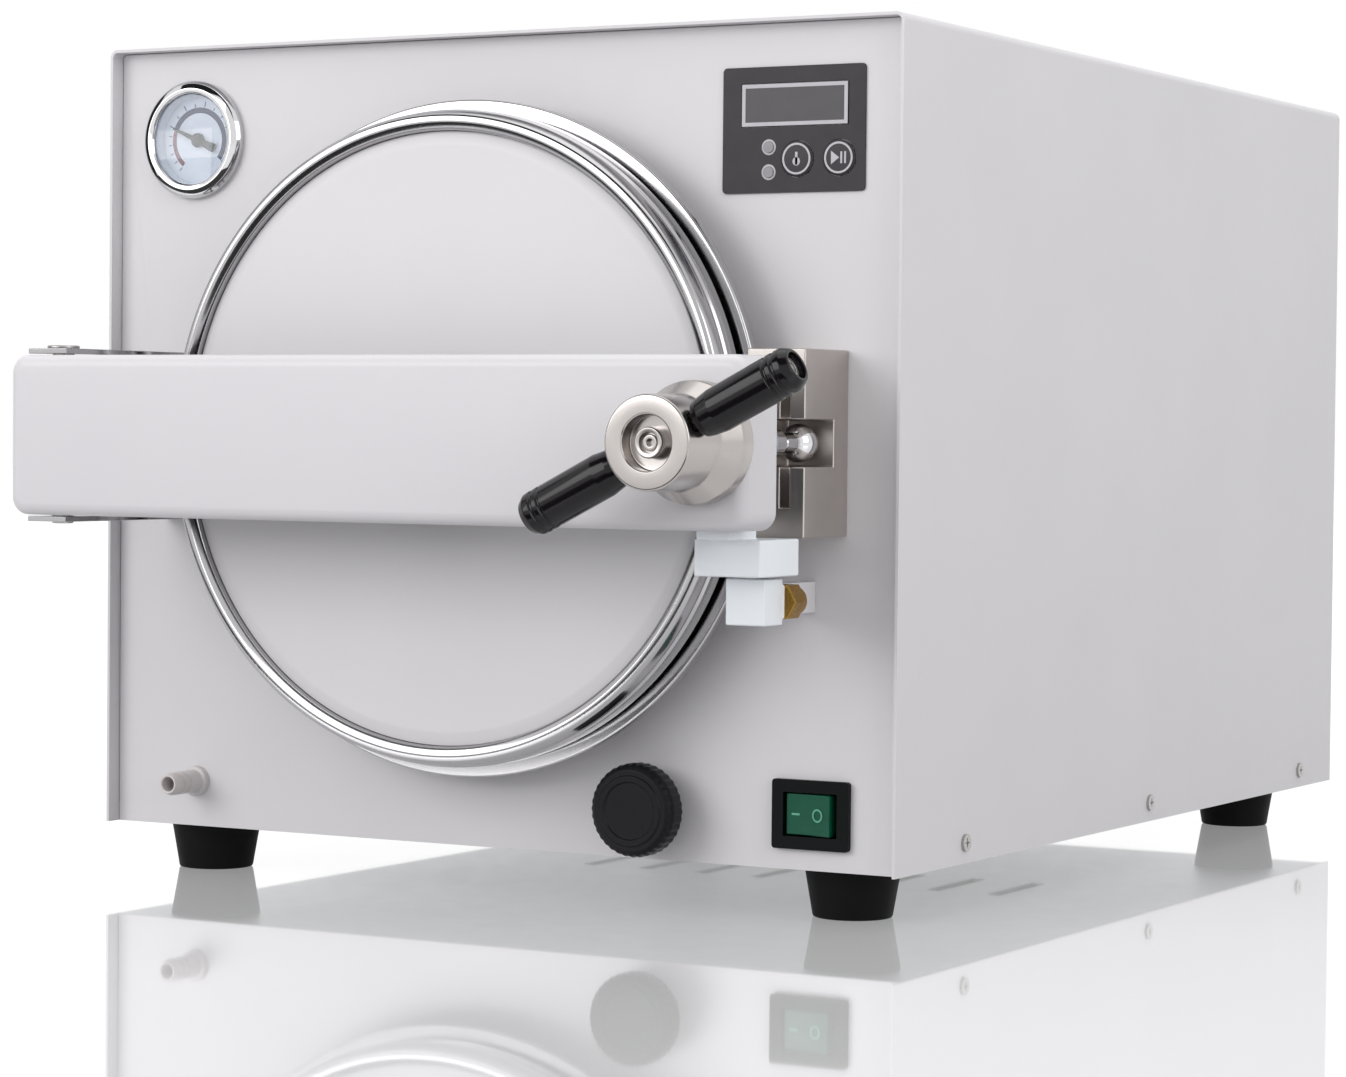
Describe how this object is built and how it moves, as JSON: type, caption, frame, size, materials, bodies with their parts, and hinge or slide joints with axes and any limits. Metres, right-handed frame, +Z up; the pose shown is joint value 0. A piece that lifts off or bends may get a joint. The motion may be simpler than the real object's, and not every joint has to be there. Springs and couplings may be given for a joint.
{
  "type": "benchtop autoclave",
  "caption": "Benchtop steam autoclave with a round hinged door, cross beam, T handle clamp, pressure gauge and tray chamber.",
  "frame": {"origin": "centre of the whole object's footprint, on the surface it stands on", "axes": "+Z up, +Y from the door towards the back, +X to the right seen from the front"},
  "size_m": [0.4564, 0.7594, 0.401],
  "materials": {
    "cabinet_paint": "satin powder coat",
    "panel_paint": "satin powder coat",
    "door_paint": "satin powder coat",
    "beam_paint": "semi-gloss paint",
    "zinc_steel": "galvanised",
    "foot_rubber": "moulded matt",
    "screw_steel": "zinc plated",
    "stainless": "satin stainless",
    "polished_steel": "polished stainless",
    "insulation": "glass wool",
    "dark_steel": "dark primer",
    "copper_pipe": "drawn copper",
    "brass_fitting": "turned brass",
    "black_plastic": "moulded phenolic",
    "white_nylon": "moulded nylon",
    "silicone_hose": "extruded silicone",
    "chrome_trim": "chrome plate",
    "dial_face": "printed dial",
    "needle_black": "black",
    "gauge_glass": "clear",
    "control_field": "printed polyester",
    "display_window": "tinted acrylic",
    "led_lens": "moulded lens",
    "control_button": "domed polyester",
    "circuit_board": "solder mask",
    "switch_black": "moulded nylon",
    "rocker_green": "moulded",
    "silicone_seal": "moulded silicone",
    "zinc_collar": "zinc plated",
    "hub_steel": "turned and polished",
    "grip_black": "moulded phenolic, glossy",
    "brushed_bracket": "ground stainless",
    "interlock_paint": "pale blue-white paint"
  },
  "bodies": {
    "cabinet": {"cover_shell": "cabinet_paint", "front_panel": "panel_paint", "rear_panel": "panel_paint", "base_tray": "zinc_steel", "rubber_feet": "foot_rubber", "foot_screws": "screw_steel", "case_screws": "screw_steel", "chamber_vessel": "stainless", "chamber_flange": "polished_steel", "insulation_jacket": "insulation", "heater_band": "dark_steel", "vessel_cradles": "zinc_steel", "tray_rack": "stainless", "tray_lower": "stainless", "tray_middle": "stainless", "tray_upper": "stainless", "temperature_probe": "stainless", "steam_pipe": "copper_pipe", "valve_body": "brass_fitting", "drain_spigot": "white_nylon", "drain_pipe": "silicone_hose", "safety_valve": "brass_fitting", "gauge_case": "dark_steel", "gauge_bezel": "chrome_trim", "gauge_dial": "dial_face", "gauge_lens": "gauge_glass", "gauge_line": "copper_pipe", "control_bezel": "control_field", "display_window": "display_window", "status_leds": "led_lens", "control_board": "circuit_board", "rocker_housing": "switch_black", "hinge_bracket": "polished_steel", "hinge_pin": "screw_steel", "latch_bracket": "brushed_bracket", "interlock_guide": "interlock_paint", "power_inlet": "switch_black", "transformer": "dark_steel"},
    "door": {"door_disc": "door_paint", "door_rim": "polished_steel", "door_inner_plate": "stainless", "door_seal": "silicone_seal", "pivot_stud": "dark_steel", "door_beam": "dark_steel", "beam_cover": "beam_paint", "clamp_bolt": "chrome_trim", "bolt_collar": "zinc_collar", "interlock_striker": "interlock_paint"},
    "washer": {"thrust_washer": "screw_steel"},
    "handle": {"handle_hub": "hub_steel", "hub_screw": "hub_steel", "handle_grips": "grip_black", "grip_studs": "screw_steel"},
    "steam_knob": {"valve_knob": "black_plastic"},
    "power_rocker": {"rocker": "rocker_green"},
    "key_left": {"button_left": "control_button"},
    "key_right": {"button_right": "control_button"},
    "needle": {"gauge_needle": "needle_black"},
    "lock_pin": {"interlock_pin": "stainless"},
    "safety_ring": {"safety_pull": "stainless"}
  },
  "joints": [
    {"name": "door_swing", "type": "hinge", "parent": "cabinet", "child": "door", "pos_m": [-0.1868, -0.3143, 0.213], "axis": [0, 0, -1], "range_deg": [0, 110]},
    {"name": "handle_travel", "type": "slide", "parent": "door", "child": "washer", "axis": [0, -1, 0], "range_m": [0, 0.00525]},
    {"name": "handle_turn", "type": "hinge", "parent": "washer", "child": "handle", "pos_m": [0.1622, -0.3797, 0.213], "axis": [0, -1, 0], "range_deg": [0, 630]},
    {"name": "steam_knob_turn", "type": "hinge", "parent": "cabinet", "child": "steam_knob", "pos_m": [0.0787, -0.2203, 0.047], "axis": [0, -1, 0], "range_deg": [0, 270]},
    {"name": "power_rocker_tilt", "type": "hinge", "parent": "cabinet", "child": "power_rocker", "pos_m": [0.1587, -0.2168, 0.048], "axis": [0, 0, 1], "range_deg": [0, 18]},
    {"name": "key_left_press", "type": "slide", "parent": "cabinet", "child": "key_left", "axis": [0, 1, 0], "range_m": [0, 0.0008], "stiffness_N_per_m": 600},
    {"name": "key_right_press", "type": "slide", "parent": "cabinet", "child": "key_right", "axis": [0, 1, 0], "range_m": [0, 0.0008], "stiffness_N_per_m": 600},
    {"name": "needle_turn", "type": "hinge", "parent": "cabinet", "child": "needle", "pos_m": [-0.1808, -0.2203, 0.3565], "axis": [0, 1, 0], "range_deg": [-55, 170], "stiffness_Nm_per_rad": 0.02},
    {"name": "lock_pin_lift", "type": "slide", "parent": "cabinet", "child": "lock_pin", "axis": [0, 0, 1], "range_m": [0, 0.005], "stiffness_N_per_m": 100},
    {"name": "safety_ring_pull", "type": "slide", "parent": "cabinet", "child": "safety_ring", "axis": [0, 1, 0], "range_m": [0, 0.003], "stiffness_N_per_m": 2000}
  ],
  "couplings": [
    {"joint": "handle_travel", "follows": "handle_turn", "m_per_rad": 0.00047746}
  ]
}
